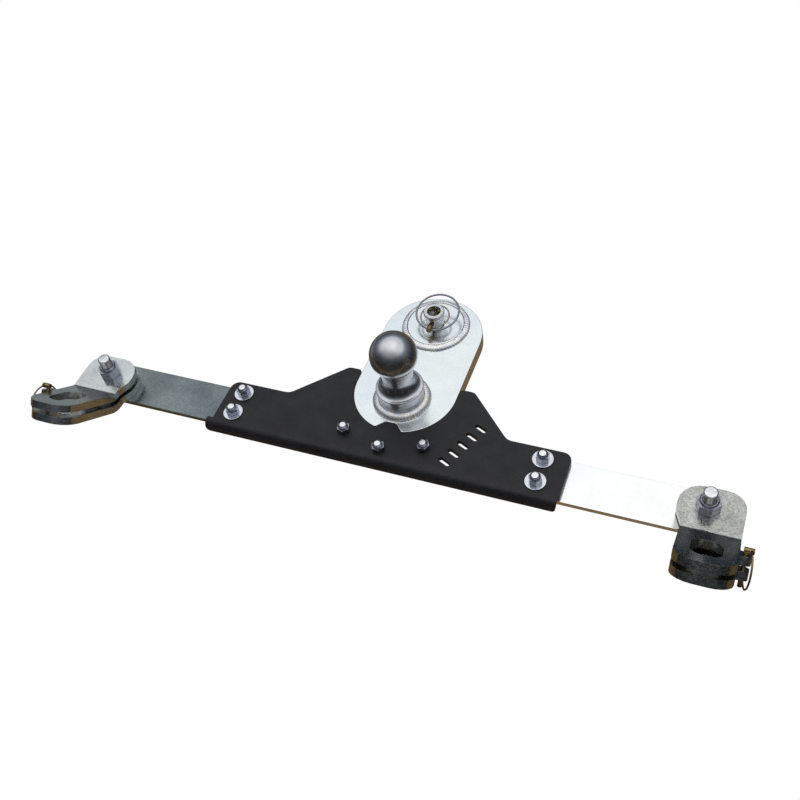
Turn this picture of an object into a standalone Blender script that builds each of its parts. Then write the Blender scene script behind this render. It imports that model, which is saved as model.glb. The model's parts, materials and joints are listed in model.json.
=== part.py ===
"""Weight distribution hitch: an offset tow ball on a cross bar with a swivel bracket at each end.

Frame: X along the cross bar, Y towards the back, Z up. The world's origin is on the shank's axis at
the underside of the ball plate. Sizes are in millimetres in a plate frame of the same directions,
where X = 0 is the centre line, Y = 0 is where the body plate's front bend starts and Z = 0 is the
body plate's top face; the empty PLATE_FRAME carries every piece from there to the world.
"""
import math

import bmesh
import bpy
from mathutils import Matrix, Vector

MM = 0.001
GAP = 0.3                      # clearance between pieces that touch

# Body plate: folded sheet with two wings, a back hump and a front flange
SHEET = 6.35
WING_HALF = 226.0
WING_BACK_Y = 64.0
WING_CORNER_R = 11.0
KINK_X = 145.5
HUMP_X = 85.5
HUMP_Y = 124.0
HUMP_R = 9.0
HUMP_TIP_R = 4.5
FLANGE_LEFT = -234.0           # the flange runs past the left wing's end and stops short of the right
FLANGE_RIGHT = 223.5
FLANGE_BEND_R = 3.2
FLANGE_DROP = 16.0
FLANGE_CORNER_R = 5.0
CUTOUT_GAP = 0.6
BOLT_ROW_Y = (15.0, 47.3)
BOLT_HOLE_R = 5.2
CENTRE_BOLTS = ((-52.3, 26.2), (0.0, 10.6), (52.3, 26.2))
VENT_COUNT = 5                 # plain slots through the right wing
VENT_START = (83.0, 14.0)
VENT_END = (110.0, 72.0)
VENT_LENGTH = 17.0
VENT_WIDTH = 5.5

# Ball plate: thick stadium with a notch at its front that keys onto the body plate's tab
BALL_PLATE_T = 19.05
BALL_PLATE_HALF = 66.7
BALL_PLATE_FRONT_Y = 106.1
BALL_PLATE_BACK_Y = 204.2
NOTCH_HALF = 17.0
NOTCH_TIP_HALF = 6.5
NOTCH_DEPTH_Y = 52.0
KEY_TIP_R = 5.0
KEY_BASE_R = 3.0
BALL_Y = 92.1
BALL_R = 29.37                 # 2-5/16 in ball
BALL_Z = 81.7
NECK_R = 19.4
FLARE_HEIGHT = 17.0            # height of the hollow from the neck out to the collar
FLARE_STEPS = 6
COLLAR_R = 30.0
COLLAR_Z = 25.0
SPIGOT_R = 15.6
BALL_WELD_LEG = 7.0

# Shank, held in a round socket, with a ball lock inside it
SHANK_Y = 220.7
SHANK_R = 38.0
SHANK_TOP_Z = 4.6
SHANK_BOTTOM_Z = -104.0
SHANK_WELD_LEG = 6.5
PISTON_BORE_R = 28.0
PISTON_BORE_TOP_Z = -39.0
RETAINER_TOP_Z = -99.9
RETAINER_T = 2.4
RETAINER_GROOVE_R = 29.6
RETAINER_INNER_R = 24.5
SPINDLE_RIM_R = 13.8
SPINDLE_RIM_Z = 23.0
SPINDLE_WAIST_Z = 17.5
SPINDLE_R = 11.4
SPINDLE_BORE_R = 11.8
SPINDLE_TOP_Z = 28.0
SPINDLE_SOCKET_R = 9.0
SPINDLE_SOCKET_Z = 8.0
SPINDLE_END_R = 8.0
SPINDLE_END_Z = -97.0
SPINDLE_LIFT = 14.0
PIN_Z = 16.0
PISTON_R = 27.5
PISTON_TOP_Z = -70.0
PISTON_BOTTOM_Z = -98.6
LOCK_BALL_R = 7.0
LOCK_BALL_Z = -77.0
LOCK_BALL_OUT = 34.85
LOCK_BALL_TRAVEL = 4.0
LOCK_BALL_HOLE_R = 7.35
SPRING_R = 17.0
SPRING_WIRE_R = 1.4
SPRING_TURNS = 4.5
SPRING_TURN_STEPS = 12
LOCK_ANGLES = (45.0, 135.0, 225.0, 315.0)
NUT_POCKET_R = 15.0            # recess under the piston for its nut
NUT_POCKET_Z = -86.0
PISTON_NUT_AF = 24.0
PISTON_NUT_H = 9.5

# Cross pin through the spindle and the two rings on its eyes
SPINDLE_PIN_FRONT = -17.5      # eye of the spring ring, measured from the spindle's axis
SPINDLE_PIN_TIP = 16.8
PULL_EYE = 4.2                 # the pull ring's eye is this far in front of the spring ring's
PULL_RING_R = 28.0
PULL_RING_TILT = 9.5
PULL_RING_TURN = -5.0          # the ring hangs a little to the right
SPRING_RING_R = 18.7
SPRING_RING_TILT = 4.0
EYE_HOLE_R = 1.9

# Backing plate under the ball plate
BACKING_T = 6.35
BACKING_HALF = 68.0
BACKING_FRONT_Y = 0.0
BACKING_BACK_Y = 130.0
PLATE_SCREW = (44.0, 84.0)
SPACER_R = 9.5

# Cross bars
BAR_T = 6.35
BAR_FRONT_Y = 0.0
BAR_WIDTH = 57.15
BAR_INNER_X = 160.0
BAR_OUTER_X = 408.0
BAR_SLOT = (172.0, 222.0)
BAR_BOLT_X = {"left": 203.0, "right": 194.0}
END_BOLT = (384.7, 20.0)
SIDES = {"left": -1, "right": 1}

# End brackets: two nested bent plates, with a long eye and an ear for the linch pin
BRACKET_T = 9.525
BRACKET_GAP = 6.35
HEAD_OUTER = 39.5              # measured from the end bolt, outwards positive
HEAD_INNER = -32.5
HEAD_BACK = 26.5
HEAD_KNEE_Y = -8.0
TONGUE_INNER = -24.4
BEND_START_Y = -29.5
BEND_R = 5.0
BEND_DEG = 40.0
BEND_ROWS = 4
TONGUE_LENGTH = 95.3           # from the end of the bend
LOWER_TONGUE_SHORT = 2.5       # the lower plate stops this far short of the upper one
NOSE_R = 24.0
EYE_CENTRE = 49.8
EYE_R = 16.35
EYE_HALF = 9.15
EAR_CENTRE = 41.2
EAR_X = 45.3
EAR_HALF = 8.0
EAR_OUT = 6.2                  # from the pin to the ear's outer edge
PIN_R = 2.4
PIN_HOLE_R = 2.75
PIN_HEAD_R = 3.2
PIN_HEAD_LIFT = 4.6
PIN_TIP = 39.5
RING_R = 20.0
RING_WIRE_R = 1.2
RING_OFFSET = 4.2
RING_TURN_DEG = 10.0

# Fasteners
BOLT_R = 4.76                  # 3/8 in
NUT_AF = 14.29
NUT_HEX = 7.2
NUT_TOTAL = 10.3
NUT_COLLAR_R = 6.4
BOLT_HEAD = 6.0
WASHER_R = 12.7
WASHER_T = 1.6
END_BOLT_R = 7.7               # 5/8 in stud
END_NUT_AF = 23.8
END_NUT_HEX = 12.3
END_NUT_TOTAL = 15.6
END_NUT_COLLAR_R = 10.4
END_BOLT_HEAD = 9.9
END_BOLT_TOP_Z = 49.0
END_HOLE_R = 8.35

ROUND_STEP = math.radians(20.0)      # largest step round an outline's corner

for old in list(bpy.data.objects):
    bpy.data.objects.remove(old, do_unlink=True)
scene = bpy.context.scene
PARTS = bpy.data.collections.new("weight_distribution_hitch")
scene.collection.children.link(PARTS)


def material(name, colour, roughness, metallic):
    made = bpy.data.materials.new(name)
    made.use_nodes = True
    shader = made.node_tree.nodes["Principled BSDF"]
    shader.inputs["Base Color"].default_value = (*colour, 1.0)
    shader.inputs["Roughness"].default_value = roughness
    shader.inputs["Metallic"].default_value = metallic
    return made


POWDER_COAT = material("powder_coat", (0.022, 0.022, 0.025), 0.45, 0.0)
ZINC = material("zinc_plate", (0.66, 0.68, 0.69), 0.32, 1.0)
DARK_ZINC = material("dark_zinc", (0.42, 0.44, 0.46), 0.35, 1.0)
BALL_STEEL = material("ball_steel", (0.30, 0.30, 0.31), 0.28, 1.0)
WELD = material("weld", (0.50, 0.49, 0.48), 0.38, 1.0)
FASTENER = material("zinc_fastener", (0.62, 0.63, 0.66), 0.25, 1.0)
YELLOW_ZINC = material("yellow_zinc", (0.55, 0.44, 0.20), 0.35, 1.0)
WIRE = material("spring_wire", (0.42, 0.40, 0.36), 0.32, 1.0)
MACHINED = material("machined_steel", (0.50, 0.50, 0.52), 0.30, 1.0)


# ---------------------------------------------------------------- outlines (millimetres)
def rounded(corners):
    """Outline through corners (x, y, radius), each corner replaced by an arc."""
    points = []
    count = len(corners)
    for i, (x, y, radius) in enumerate(corners):
        here = Vector((x, y))
        if radius == 0:
            points.append(here)
            continue
        back = (Vector(corners[i - 1][:2]) - here).normalized()
        ahead = (Vector(corners[(i + 1) % count][:2]) - here).normalized()
        half = math.acos(max(-1.0, min(1.0, back.dot(ahead)))) / 2
        centre = here + (back + ahead).normalized() * (radius / math.sin(half))
        start = here + back * (radius / math.tan(half)) - centre
        end = here + ahead * (radius / math.tan(half)) - centre
        sweep = math.atan2(start.x * end.y - start.y * end.x, start.dot(end))
        steps = max(2, math.ceil(abs(sweep) / ROUND_STEP))
        for k in range(steps + 1):
            points.append(centre + Matrix.Rotation(sweep * k / steps, 2) @ start)
    return points


def arc(cx, cy, radius, start_deg, end_deg, steps):
    angles = [math.radians(start_deg + (end_deg - start_deg) * k / steps) for k in range(steps + 1)]
    return [Vector((cx + radius * math.cos(a), cy + radius * math.sin(a))) for a in angles]


def circle(cx, cy, radius, steps=24):
    return arc(cx, cy, radius, 0.0, 360.0, steps)[:-1]


def slot(cx, cy, half, radius, turn_deg=0.0, steps=10):
    """Stadium with its straight sides along a line turned from +X."""
    loop = arc(half, 0, radius, -90, 90, steps) + arc(-half, 0, radius, 90, 270, steps)
    turn = Matrix.Rotation(math.radians(turn_deg), 2)
    return [turn @ p + Vector((cx, cy)) for p in loop]


def mirrored(points, side):
    """The outline itself on the right, its mirror image on the left."""
    return [Vector((side * p.x, p.y)) for p in points]


# ---------------------------------------------------------------- meshes
def mesh_from(obj):
    """The mesh an object shows, with its modifiers and its loose caps joined."""
    graph = bpy.context.evaluated_depsgraph_get()
    mesh = bpy.data.meshes.new_from_object(obj.evaluated_get(graph))
    mesh.transform(obj.matrix_world)
    work = bmesh.new()
    work.from_mesh(mesh)
    bmesh.ops.remove_doubles(work, verts=work.verts, dist=1e-6)
    bmesh.ops.recalc_face_normals(work, faces=work.faces)
    work.to_mesh(mesh)
    work.free()
    return mesh


def temporary(data):
    obj = bpy.data.objects.new("temporary", data)
    scene.collection.objects.link(obj)
    return obj


def baked(obj):
    """Mesh of a temporary object, which is removed."""
    bpy.context.view_layer.update()
    mesh = mesh_from(obj)
    bpy.data.objects.remove(obj, do_unlink=True)
    return mesh


def flat(loops, z0, z1):
    """A flat outline with its holes, from z0 to z1."""
    curve = bpy.data.curves.new("outline", "CURVE")
    curve.dimensions = "2D"
    curve.fill_mode = "BOTH"
    curve.extrude = (z1 - z0) / 2 * MM
    for loop in loops:
        spline = curve.splines.new("POLY")
        spline.points.add(len(loop) - 1)
        for point, place in zip(spline.points, loop):
            point.co = (place.x * MM, place.y * MM, 0, 1)
        spline.use_cyclic_u = True
    obj = temporary(curve)
    obj.location.z = (z0 + z1) / 2 * MM
    return baked(obj)


def turned(profile, steps=48, closed=False):
    """A profile of (radius, z), running down its outer side, turned about Z."""
    mesh = bpy.data.meshes.new("profile")
    work = bmesh.new()
    verts = [work.verts.new((r * MM, 0, z * MM)) for r, z in profile]
    ends = zip(verts, verts[1:] + verts[:1]) if closed else zip(verts, verts[1:])
    for a, b in ends:
        work.edges.new((a, b))
    work.to_mesh(mesh)
    work.free()
    obj = temporary(mesh)
    screw = obj.modifiers.new("turn", "SCREW")
    screw.steps = steps
    screw.render_steps = steps
    screw.use_merge_vertices = True
    screw.merge_threshold = 0.00001
    return baked(obj)


def rod(radius, z0, z1, steps=24, chamfer=0.0):
    """A cylinder along Z with a chamfer at its top."""
    corner = [(radius - chamfer, z1), (radius, z1 - chamfer)] if chamfer else [(radius, z1)]
    return turned([(0, z1)] + corner + [(radius, z0), (0, z0)], steps)


def ring(inner, outer, z0, z1, steps=32):
    return turned([(outer, z1), (outer, z0), (inner, z0), (inner, z1)], steps, closed=True)


def hexagon(across_flats, z0, z1):
    """A hexagonal prism with a flat facing +Y."""
    mesh = bpy.data.meshes.new("hexagon")
    work = bmesh.new()
    corner = across_flats / math.sqrt(3)
    bmesh.ops.create_cone(work, cap_ends=True, segments=6, radius1=corner * MM, radius2=corner * MM,
                          depth=(z1 - z0) * MM)
    bmesh.ops.translate(work, verts=work.verts, vec=(0, 0, (z0 + z1) / 2 * MM))
    work.to_mesh(mesh)
    work.free()
    return mesh


def moved(mesh, location=(0, 0, 0), rotation=(0, 0, 0)):
    """The mesh turned by Euler degrees, then moved by millimetres."""
    turn = Matrix.LocRotScale(Vector(location) * MM, None, None)
    for angle, axis in zip(rotation, "XYZ"):
        turn = turn @ Matrix.Rotation(math.radians(angle), 4, axis)
    mesh.transform(turn)
    return mesh


def combined(base, operation, tools):
    """Base with each tool mesh joined on or cut away by an exact Boolean."""
    obj = temporary(base)
    helpers = []
    for tool in tools:
        helper = temporary(tool)
        helper.hide_render = True
        helper.display_type = "WIRE"
        helpers.append(helper)
        step = obj.modifiers.new(operation, "BOOLEAN")
        step.operation = operation
        step.solver = "EXACT"
        step.object = helper
    mesh = baked(obj)
    for helper in helpers:
        bpy.data.objects.remove(helper, do_unlink=True)
    return mesh


def cut(base, *tools):
    return combined(base, "DIFFERENCE", tools)


def joined(base, *tools):
    return combined(base, "UNION", tools)


def folded(mesh, start_y, degrees, inner_r, z_bottom, z_top, upwards):
    """Bend a flat plate that runs on past start_y towards -Y, up or down about a line along X."""
    angle = math.radians(degrees)
    middle = inner_r + (z_top - z_bottom) / 2
    length = middle * angle
    work = bmesh.new()
    work.from_mesh(mesh)
    for k in range(BEND_ROWS + 1):
        place = Vector((0, (start_y - length * k / BEND_ROWS) * MM, 0))
        everything = list(work.verts) + list(work.edges) + list(work.faces)
        bmesh.ops.bisect_plane(work, geom=everything, plane_co=place, plane_no=(0, 1, 0), dist=1e-7)
    bmesh.ops.triangulate(work, faces=work.faces)
    for vert in work.verts:
        run = start_y - vert.co.y / MM
        if run <= 0:
            continue
        z = vert.co.z / MM
        swing = min(run, length) / middle
        straight = max(run - length, 0.0)
        arm = (z_top + inner_r - z) if upwards else (z - z_bottom + inner_r)
        y = start_y - arm * math.sin(swing) - straight * math.cos(swing)
        rise = arm * (1 - math.cos(swing)) + straight * math.sin(swing)
        z = z + rise if upwards else z - rise
        vert.co.y = y * MM
        vert.co.z = z * MM
    bmesh.ops.recalc_face_normals(work, faces=work.faces)
    work.to_mesh(mesh)
    work.free()
    return mesh


def torus(radius, wire, steps=32, wire_steps=6):
    """A wire ring about Z."""
    loop = circle(radius, 0, wire, wire_steps)
    return turned([(p.x, p.y) for p in reversed(loop)], steps, closed=True)


def empty(name, location, parent=None):
    """A joint's frame; with no parent it stands in the plate frame."""
    obj = bpy.data.objects.new(name, None)
    obj.empty_display_size = 0.02
    obj.location = Vector(location) * MM
    obj.parent = parent
    PARTS.objects.link(obj)
    return obj


PLATE_FRAME = empty("plate_frame", (0, -SHANK_Y, BALL_PLATE_T))


def node(name, mesh, finish, location=(0, 0, 0), rotation=(0, 0, 0), parent=None):
    """One piece of the hitch; location in millimetres, rotation in degrees."""
    obj = bpy.data.objects.new(name, mesh)
    obj.location = Vector(location) * MM
    obj.rotation_euler = [math.radians(a) for a in rotation]
    obj.parent = parent or PLATE_FRAME
    PARTS.objects.link(obj)
    if not mesh.materials:
        mesh.materials.append(finish)
    mesh.shade_smooth()
    mesh.set_sharp_from_angle(angle=math.radians(30))
    return obj


# ---------------------------------------------------------------- fasteners
def lock_nut(across_flats, hex_height, total, collar_r, bolt_r):
    body = hexagon(across_flats, 0, hex_height)
    collar = rod(collar_r, hex_height - 1.0, total, 20, chamfer=1.2)
    bore = rod(bolt_r + GAP, -1.0, total + 1.0, 16)
    return cut(joined(body, collar), bore)


def hex_bolt(across_flats, head, radius, length):
    """Head below z = 0, shaft up to length."""
    return joined(hexagon(across_flats, -head, 0), rod(radius, -head / 2, length, 16, chamfer=1.0))


# ---------------------------------------------------------------- body plate
def keyed_arc(radius, key_half, tip_half, tip_y, base_round):
    """Front half of a stadium's end with a key at its middle, as corners from the right to the left."""
    key_deg = math.degrees(math.asin(key_half / radius))
    base_y = BALL_PLATE_FRONT_Y - radius * math.cos(math.radians(key_deg))
    right = arc(0, BALL_PLATE_FRONT_Y, radius, 0, -90 + key_deg + 3, 20)
    left = arc(0, BALL_PLATE_FRONT_Y, radius, -90 - key_deg - 3, -180, 20)
    key = [(key_half, base_y, base_round), (tip_half, tip_y, KEY_TIP_R), (-tip_half, tip_y, KEY_TIP_R),
           (-key_half, base_y, base_round)]
    return [(p.x, p.y, 0) for p in right] + key + [(p.x, p.y, 0) for p in left]


def body_outline(front_y):
    cutout = BALL_PLATE_HALF + CUTOUT_GAP
    corners = [
        (FLANGE_LEFT, front_y, FLANGE_CORNER_R), (FLANGE_RIGHT, front_y, FLANGE_CORNER_R),
        (FLANGE_RIGHT, 1.0, 0), (WING_HALF, 2.6, 0), (WING_HALF, WING_BACK_Y, WING_CORNER_R),
        (KINK_X, WING_BACK_Y, 14.0), (HUMP_X, HUMP_Y, HUMP_R), (cutout, HUMP_Y, HUMP_TIP_R)]
    corners += keyed_arc(cutout, NOTCH_HALF, NOTCH_TIP_HALF, NOTCH_DEPTH_Y, KEY_BASE_R)
    corners += [
        (-cutout, HUMP_Y, HUMP_TIP_R), (-HUMP_X, HUMP_Y, HUMP_R), (-KINK_X, WING_BACK_Y, 14.0),
        (-WING_HALF, WING_BACK_Y, WING_CORNER_R), (-WING_HALF, 1.5, 0), (FLANGE_LEFT, 1.5, 2.0)]
    return rounded(corners)


def body_holes():
    holes = [circle(x, y, BOLT_HOLE_R, 16) for x, y in CENTRE_BOLTS]
    for name, side in SIDES.items():
        holes += [circle(side * BAR_BOLT_X[name], y, BOLT_HOLE_R, 16) for y in BOLT_ROW_Y]
    start, end = Vector(VENT_START), Vector(VENT_END)
    along = math.degrees(math.atan2(end.y - start.y, end.x - start.x))
    for k in range(VENT_COUNT):
        centre = start.lerp(end, k / (VENT_COUNT - 1))
        half = (VENT_LENGTH - VENT_WIDTH) / 2
        holes.append(slot(centre.x, centre.y, half, VENT_WIDTH / 2, along - 90, 6))
    return holes


flange_run = (FLANGE_BEND_R + SHEET / 2) * math.pi / 2 + FLANGE_DROP - SHEET - FLANGE_BEND_R
body = flat([body_outline(-flange_run)] + body_holes(), -SHEET, 0)
body = folded(body, 0.0, 90.0, FLANGE_BEND_R, -SHEET, 0, upwards=False)
node("body_plate", body, POWDER_COAT)


# ---------------------------------------------------------------- ball plate, ball and welds
def ball_plate_outline():
    front = keyed_arc(BALL_PLATE_HALF, NOTCH_HALF + CUTOUT_GAP, NOTCH_TIP_HALF + CUTOUT_GAP,
                      NOTCH_DEPTH_Y + CUTOUT_GAP, KEY_BASE_R)
    back = arc(0, BALL_PLATE_BACK_Y, BALL_PLATE_HALF, 180, 0, 40)
    return rounded(front + [(p.x, p.y, 0) for p in back])


ball_plate = flat([ball_plate_outline(), circle(0, BALL_Y, SPIGOT_R + 0.4, 40),
                   circle(0, SHANK_Y, SHANK_R + 0.4, 36)], -BALL_PLATE_T, 0)
tapped = [moved(rod(BOLT_R + GAP, -BALL_PLATE_T - 1, -BALL_PLATE_T + 12, 16),
                (side * PLATE_SCREW[0], PLATE_SCREW[1], 0)) for side in (-1, 1)]
node("ball_plate", cut(ball_plate, *tapped), ZINC)

neck_z = BALL_Z - math.sqrt(BALL_R ** 2 - NECK_R ** 2)
sphere_end = math.degrees(math.asin((neck_z - BALL_Z) / BALL_R))
ball_profile = [(p.x, p.y) for p in arc(0, BALL_Z, BALL_R, 90, sphere_end, 12)]
ball_profile[0] = (0.0, BALL_Z + BALL_R)
flare_r = COLLAR_R - 1.5 - NECK_R
flare_z = COLLAR_Z + 0.6 + FLARE_HEIGHT
ball_profile += [(NECK_R + flare_r + p.x, flare_z + p.y * FLARE_HEIGHT / flare_r)
                 for p in arc(0, 0, flare_r, 180, 268, FLARE_STEPS)]
ball_profile += [(COLLAR_R - 0.3, COLLAR_Z), (COLLAR_R, COLLAR_Z - 1.2), (COLLAR_R - 0.8, COLLAR_Z - 4.0),
                 (COLLAR_R - 0.8, GAP), (SPIGOT_R, GAP), (SPIGOT_R, -BALL_PLATE_T + 0.5),
                 (0.0, -BALL_PLATE_T + 0.5)]
node("hitch_ball", turned(ball_profile, 40), BALL_STEEL, location=(0, BALL_Y, 0))


def bead(inner, leg, height):
    """Convex fillet weld round a post, standing on z = GAP."""
    side = [(inner, height)]
    side += [(inner + leg * math.sin(a) ** 0.9, GAP + (height - GAP) * math.cos(a) ** 0.9)
             for a in (math.radians(d) for d in (25, 50, 72))]
    side += [(inner + leg, GAP), (inner, GAP)]
    return turned(side, 36, closed=True)


node("ball_weld", bead(COLLAR_R - 0.8 + GAP, BALL_WELD_LEG, 7.5), WELD, location=(0, BALL_Y, 0))
node("shank_weld", bead(SHANK_R + GAP, SHANK_WELD_LEG, SHANK_TOP_Z - 0.4), WELD, location=(0, SHANK_Y, 0))

# ---------------------------------------------------------------- shank and its ball lock
shank_profile = [
    (SHANK_R - 0.8, SHANK_TOP_Z), (SHANK_R, SHANK_TOP_Z - 0.8), (SHANK_R, SHANK_BOTTOM_Z + 4),
    (SHANK_R - 4, SHANK_BOTTOM_Z), (PISTON_BORE_R, SHANK_BOTTOM_Z),
    (PISTON_BORE_R, RETAINER_TOP_Z - RETAINER_T - 2 * GAP),
    (RETAINER_GROOVE_R, RETAINER_TOP_Z - RETAINER_T - 2 * GAP),
    (RETAINER_GROOVE_R, RETAINER_TOP_Z + GAP), (PISTON_BORE_R, RETAINER_TOP_Z + GAP),
    (PISTON_BORE_R, PISTON_BORE_TOP_Z), (SPINDLE_BORE_R, PISTON_BORE_TOP_Z), (SPINDLE_BORE_R, SHANK_TOP_Z)]
shank = turned(shank_profile, 36, closed=True)
ball_holes = [moved(rod(LOCK_BALL_HOLE_R, 20, 50, 16), (0, 0, LOCK_BALL_Z), (0, 90, 0)) for _ in LOCK_ANGLES]
for hole, angle in zip(ball_holes, LOCK_ANGLES):
    hole.transform(Matrix.Rotation(math.radians(angle), 4, "Z"))
node("shank", cut(shank, *ball_holes), ZINC, location=(0, SHANK_Y, 0))

lift = empty("spindle_lift", (0, SHANK_Y, 0), parent=PLATE_FRAME)
spindle = turned([
    (0, SPINDLE_SOCKET_Z), (SPINDLE_SOCKET_R, SPINDLE_SOCKET_Z), (SPINDLE_SOCKET_R, SPINDLE_TOP_Z),
    (SPINDLE_RIM_R - 0.8, SPINDLE_TOP_Z), (SPINDLE_RIM_R, SPINDLE_TOP_Z - 0.8),
    (SPINDLE_RIM_R, SPINDLE_RIM_Z),
    (SPINDLE_R, SPINDLE_WAIST_Z), (SPINDLE_R, PISTON_TOP_Z + GAP),
    (SPINDLE_END_R, PISTON_TOP_Z + GAP), (SPINDLE_END_R, SPINDLE_END_Z), (0, SPINDLE_END_Z)], 32)
cross_hole = moved(rod(PIN_R + 0.45, -20, 20, 16), (0, 0, PIN_Z), (90, 0, 0))
node("lock_spindle", cut(spindle, cross_hole), MACHINED, parent=lift)

cam_slope = LOCK_BALL_TRAVEL / SPINDLE_LIFT
cam_reach = (LOCK_BALL_R + GAP) * math.sqrt(1 + cam_slope ** 2)
cam_r = LOCK_BALL_OUT - cam_reach
cam_top_z = LOCK_BALL_Z + (PISTON_R - cam_r) / cam_slope
cam_end_r = cam_r - (LOCK_BALL_Z - PISTON_BOTTOM_Z) * cam_slope
piston = turned([
    (PISTON_R, PISTON_TOP_Z), (PISTON_R, cam_top_z), (cam_end_r, PISTON_BOTTOM_Z),
    (NUT_POCKET_R, PISTON_BOTTOM_Z), (NUT_POCKET_R, NUT_POCKET_Z), (SPINDLE_END_R + GAP, NUT_POCKET_Z),
    (SPINDLE_END_R + GAP, PISTON_TOP_Z)], 32, closed=True)
node("lock_piston", piston, MACHINED, parent=lift)
piston_nut = cut(hexagon(PISTON_NUT_AF, 0, PISTON_NUT_H), rod(SPINDLE_END_R + GAP, -1, PISTON_NUT_H + 1, 24))
node("piston_nut", piston_nut, FASTENER, location=(0, 0, NUT_POCKET_Z - GAP - PISTON_NUT_H), parent=lift)

spring_low = PISTON_TOP_Z + GAP + SPRING_WIRE_R
spring_high = PISTON_BORE_TOP_Z - GAP - SPRING_WIRE_R
coil = bpy.data.curves.new("coil", "CURVE")
coil.dimensions = "3D"
coil.bevel_depth = SPRING_WIRE_R * MM
coil.bevel_resolution = 2
coil.use_fill_caps = True
coil_count = int(SPRING_TURNS * SPRING_TURN_STEPS)
path = coil.splines.new("POLY")
path.points.add(coil_count)
for k, point in enumerate(path.points):
    a = 2 * math.pi * k / SPRING_TURN_STEPS
    z = spring_low + (spring_high - spring_low) * k / coil_count
    point.co = (SPRING_R * math.cos(a) * MM, SPRING_R * math.sin(a) * MM, z * MM, 1)
node("lock_spring", baked(temporary(coil)), WIRE, location=(0, SHANK_Y, 0))
retainer = ring(RETAINER_INNER_R, RETAINER_GROOVE_R - GAP, RETAINER_TOP_Z - RETAINER_T - GAP,
                RETAINER_TOP_Z - GAP / 2)
node("lock_retainer", retainer, MACHINED, location=(0, SHANK_Y, 0))

lock_ball = bpy.data.meshes.new("lock_ball")
ball_work = bmesh.new()
bmesh.ops.create_uvsphere(ball_work, u_segments=16, v_segments=10, radius=LOCK_BALL_R * MM)
ball_work.to_mesh(lock_ball)
ball_work.free()
for number, angle in enumerate(LOCK_ANGLES, 1):
    x = LOCK_BALL_OUT * math.cos(math.radians(angle))
    y = LOCK_BALL_OUT * math.sin(math.radians(angle))
    node(f"lock_ball_{number}", lock_ball, MACHINED, location=(x, SHANK_Y + y, LOCK_BALL_Z),
         rotation=(0, 0, angle))

# ---------------------------------------------------------------- spindle pin and its rings
head_front = SPINDLE_PIN_FRONT - PULL_EYE - 3.2
head_back = SPINDLE_PIN_FRONT + 3.4
shaft = moved(rod(PIN_R, -SPINDLE_PIN_TIP, -head_back + 1, 20), (0, 0, 0), (90, 0, 0))
head = moved(rod(PIN_HEAD_R + 0.4, -head_back, -head_front, 24), (0, 0, 0), (90, 0, 0))
eyes = [moved(rod(EYE_HOLE_R, -6, 6, 16), (0, SPINDLE_PIN_FRONT - d, 0), (0, 90, 0)) for d in (0, PULL_EYE)]
pin_slide = empty("spindle_pin_slide", (0, 0, PIN_Z), parent=lift)
node("spindle_pin", cut(joined(head, shaft), *eyes), YELLOW_ZINC, parent=pin_slide)
spring_ring = moved(torus(SPRING_RING_R, RING_WIRE_R), (0, SPRING_RING_R, 0))
node("spindle_pin_ring", spring_ring, YELLOW_ZINC, location=(0, SPINDLE_PIN_FRONT, 0),
     rotation=(SPRING_RING_TILT, 0, 0), parent=pin_slide)
pull_ring = moved(torus(PULL_RING_R, RING_WIRE_R + 0.1, 40), (0, PULL_RING_R, 0))
pull_ring = moved(pull_ring, rotation=(0, 0, PULL_RING_TURN))
node("pull_ring", pull_ring, WIRE, location=(0, SPINDLE_PIN_FRONT - PULL_EYE, 0),
     rotation=(PULL_RING_TILT, 0, 0), parent=pin_slide)

# ---------------------------------------------------------------- backing plate and centre fasteners
backing_top = -BALL_PLATE_T - GAP
backing_low = backing_top - BACKING_T
backing_outline = rounded([
    (-BACKING_HALF, BACKING_FRONT_Y + 14, 10), (-24, BACKING_FRONT_Y, 20), (24, BACKING_FRONT_Y, 20),
    (BACKING_HALF, BACKING_FRONT_Y + 14, 10), (BACKING_HALF, BACKING_BACK_Y, 12),
    (-BACKING_HALF, BACKING_BACK_Y, 12)])
backing_holes = [circle(x, y, BOLT_HOLE_R, 16) for x, y in CENTRE_BOLTS]
backing_holes += [circle(s * PLATE_SCREW[0], PLATE_SCREW[1], BOLT_HOLE_R, 16) for s in (-1, 1)]
node("backing_plate", flat([backing_outline] + backing_holes, backing_low, backing_top), POWDER_COAT)

small_nut = lock_nut(NUT_AF, NUT_HEX, NUT_TOTAL, NUT_COLLAR_R, BOLT_R)
centre_bolt = hex_bolt(NUT_AF, BOLT_HEAD, BOLT_R, GAP - backing_low + GAP + NUT_TOTAL + 1.2)
spacer = ring(BOLT_R + 0.5, SPACER_R, backing_top + GAP, -SHEET - GAP, 16)
for number, (x, y) in enumerate(CENTRE_BOLTS, 1):
    node(f"centre_bolt_{number}", centre_bolt, FASTENER, location=(x, y, backing_low - GAP))
    node(f"centre_nut_{number}", small_nut, FASTENER, location=(x, y, GAP), rotation=(0, 0, 12 * number))
    node(f"centre_spacer_{number}", spacer, DARK_ZINC, location=(x, y, 0))
plate_screw = hex_bolt(NUT_AF, BOLT_HEAD, BOLT_R, BACKING_T + GAP + 11)
for number, side in enumerate((-1, 1), 1):
    node(f"plate_screw_{number}", plate_screw, FASTENER,
         location=(side * PLATE_SCREW[0], PLATE_SCREW[1], backing_low - GAP))


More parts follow.
